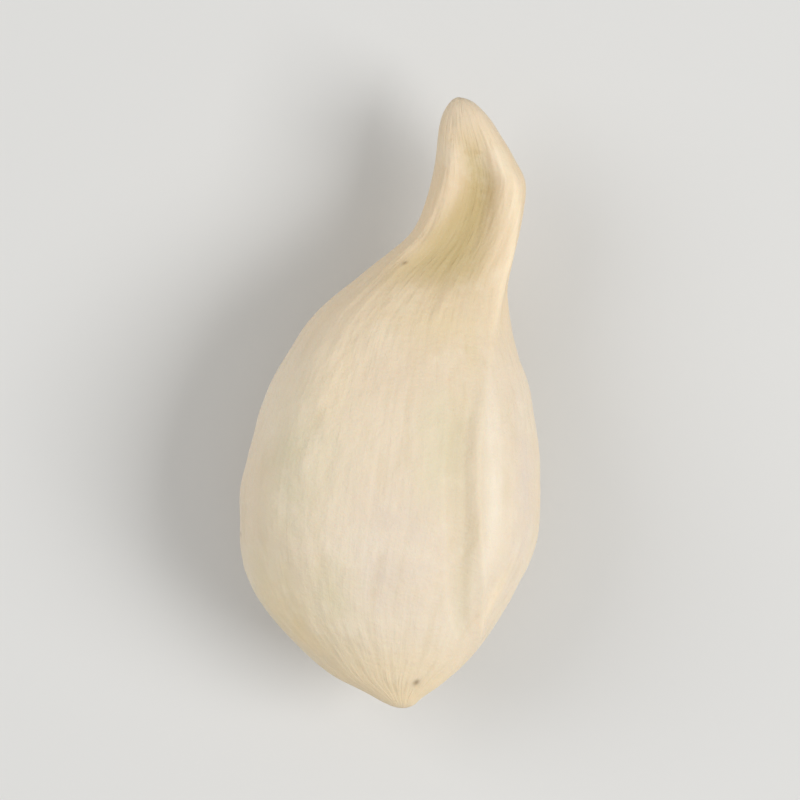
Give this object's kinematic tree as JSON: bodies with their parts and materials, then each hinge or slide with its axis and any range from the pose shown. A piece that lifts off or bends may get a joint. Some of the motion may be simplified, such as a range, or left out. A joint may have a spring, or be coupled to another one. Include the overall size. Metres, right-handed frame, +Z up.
{
  "type": "tangerine seed",
  "caption": "Dried tangerine seed: a plump cream teardrop with a low ridge along one side, drawn out into a bent, hollow, spoon-like beak.",
  "frame": {"origin": "in the middle of the seed's length and width, on the surface that it lies on", "axes": "+Y along the seed from its blunt end to the tip of its beak, +Z up as it lies on its belly, +X to the right as seen from above"},
  "size_m": [0.0058, 0.012, 0.0046],
  "materials": {
    "seed_coat": "dry, matt, papery skin, cream with pinkish and greenish patches, tan in the hollow of the beak"
  },
  "bodies": {
    "root": {"tangerine_seed": "seed_coat"}
  },
  "joints": []
}
